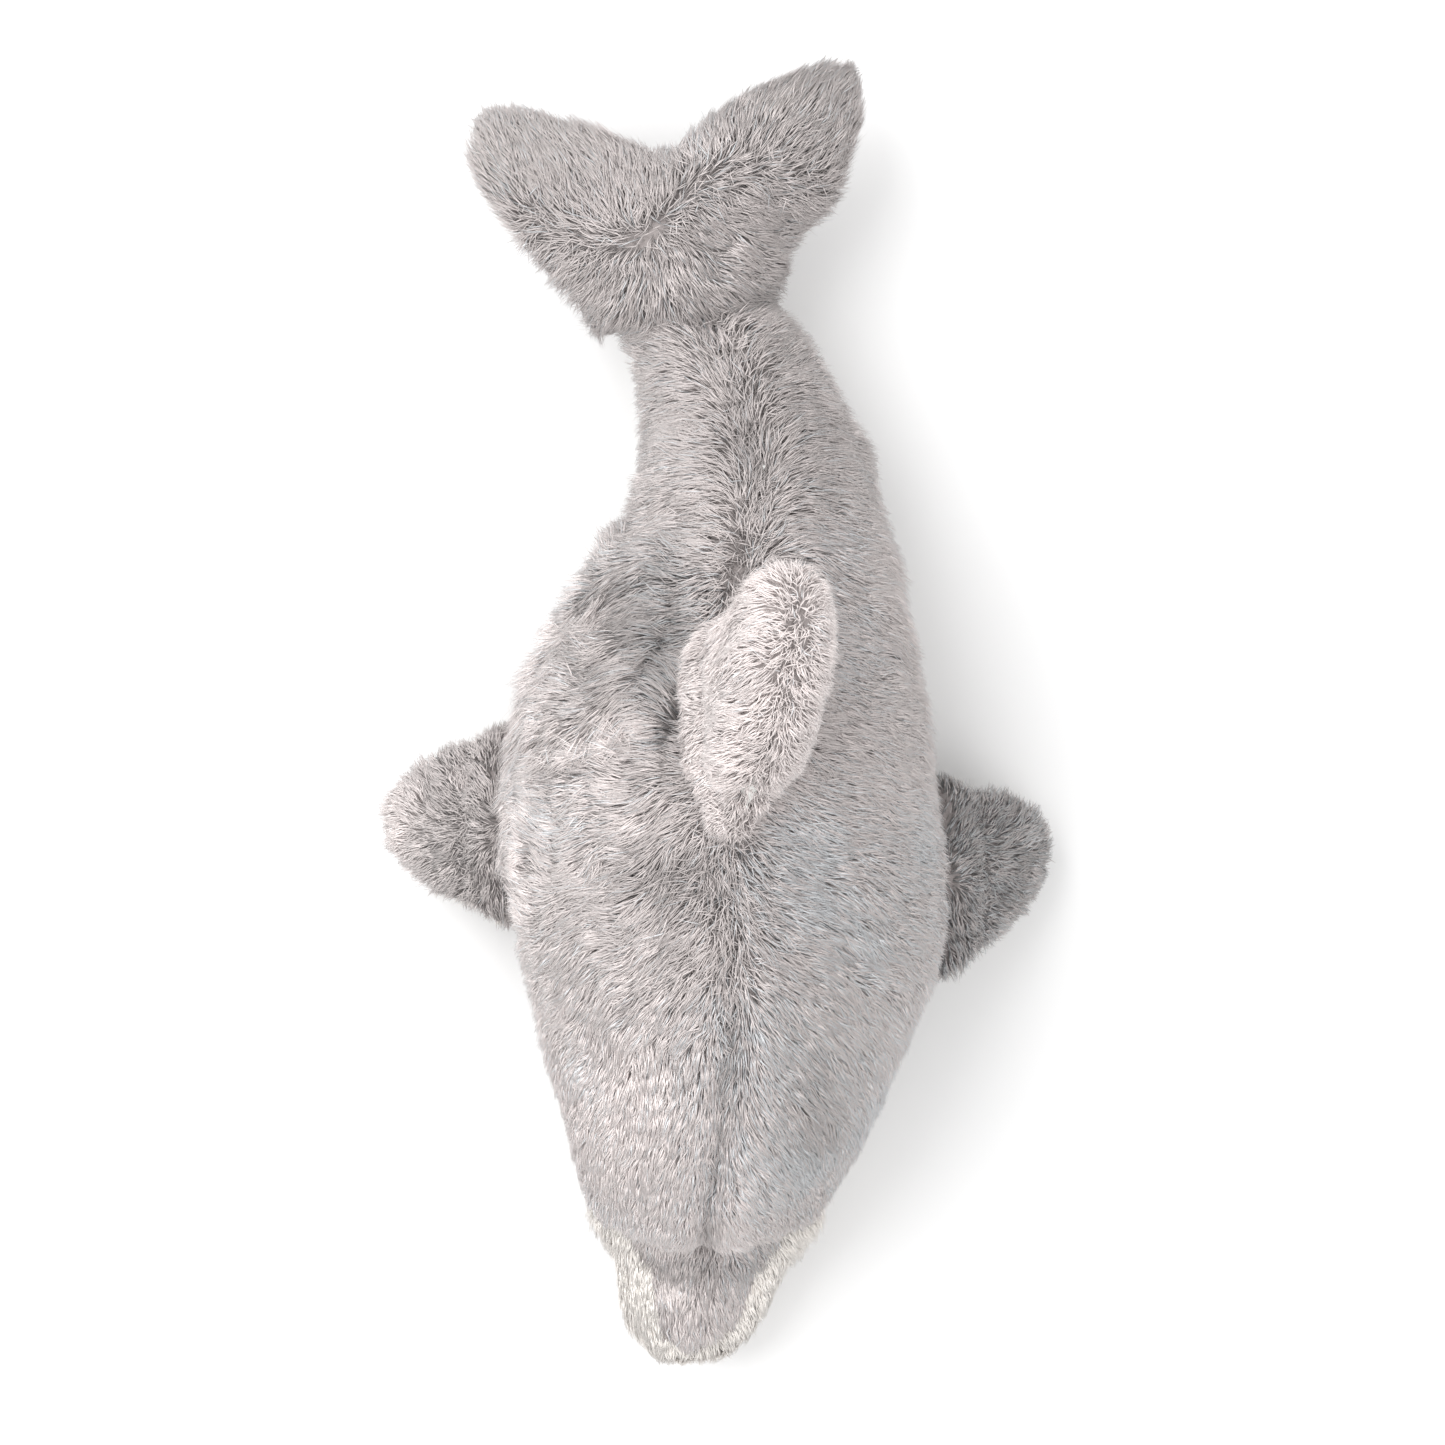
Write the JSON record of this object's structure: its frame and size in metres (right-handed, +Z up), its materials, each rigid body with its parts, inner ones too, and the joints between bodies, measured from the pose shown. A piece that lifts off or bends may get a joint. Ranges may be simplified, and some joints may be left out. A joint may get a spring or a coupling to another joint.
{
  "type": "plush dolphin",
  "caption": "Stuffed dolphin in long-pile fabric, lying on its belly, with a short beak, a leaning back fin, side flippers, a bent tail and two-lobed flukes that flex at their seams.",
  "frame": {"origin": "on the surface the toy lies on, under the middle of its bounding box", "axes": "+Z up; the head points to -Y and the tail to +Y, so +X is the toy's own left side. Left and right in names are the toy's own"},
  "size_m": [0.2601, 0.4921, 0.195],
  "materials": {
    "grey_fabric": "matte",
    "cream_fabric": "matte",
    "filling": "matte",
    "eye": "gloss",
    "washer": "matte"
  },
  "bodies": {
    "torso": {"back_panel_right": "grey_fabric", "back_panel_left": "grey_fabric", "belly_panel": "cream_fabric", "beak_top_panel": "grey_fabric", "body_filling": "filling", "right_eye": "eye", "left_eye": "eye", "right_eye_washer": "washer", "left_eye_washer": "washer"},
    "tail": {"tail_panel_right": "grey_fabric", "tail_panel_left": "grey_fabric", "tail_belly_panel": "cream_fabric", "tail_filling": "filling"},
    "flukes": {"fluke_top_panel": "grey_fabric", "fluke_bottom_panel": "grey_fabric", "fluke_filling": "filling"},
    "dorsal_fin": {"dorsal_fin_right_panel": "grey_fabric", "dorsal_fin_left_panel": "grey_fabric", "dorsal_fin_filling": "filling"},
    "right_flipper": {"right_flipper_top_panel": "grey_fabric", "right_flipper_bottom_panel": "cream_fabric", "right_flipper_filling": "filling"},
    "left_flipper": {"left_flipper_top_panel": "grey_fabric", "left_flipper_bottom_panel": "cream_fabric", "left_flipper_filling": "filling"}
  },
  "joints": [
    {"name": "tail_sway", "type": "hinge", "parent": "torso", "child": "tail", "pos_m": [0.0158, 0.086, 0.05], "axis": [0, 0, 1], "range_deg": [-18, 18], "stiffness_Nm_per_rad": 0.25},
    {"name": "fluke_flap", "type": "hinge", "parent": "tail", "child": "flukes", "pos_m": [-0.00496, 0.1525, 0.04934], "axis": [0.9703, 0.2419, 0], "range_deg": [-25, 25], "stiffness_Nm_per_rad": 0.2},
    {"name": "dorsal_fin_lean", "type": "hinge", "parent": "torso", "child": "dorsal_fin", "pos_m": [0.007, 0, 0.14], "axis": [0, 0.9848, -0.1736], "range_deg": [-39, 7], "stiffness_Nm_per_rad": 0.08},
    {"name": "right_flipper_flap", "type": "hinge", "parent": "torso", "child": "right_flipper", "pos_m": [-0.082, -0.041, 0.045], "axis": [0, 1, 0], "range_deg": [-8, 40], "stiffness_Nm_per_rad": 0.04},
    {"name": "left_flipper_flap", "type": "hinge", "parent": "torso", "child": "left_flipper", "pos_m": [0.087, -0.061, 0.05], "axis": [0, -1, 0], "range_deg": [-5, 45], "stiffness_Nm_per_rad": 0.04}
  ]
}
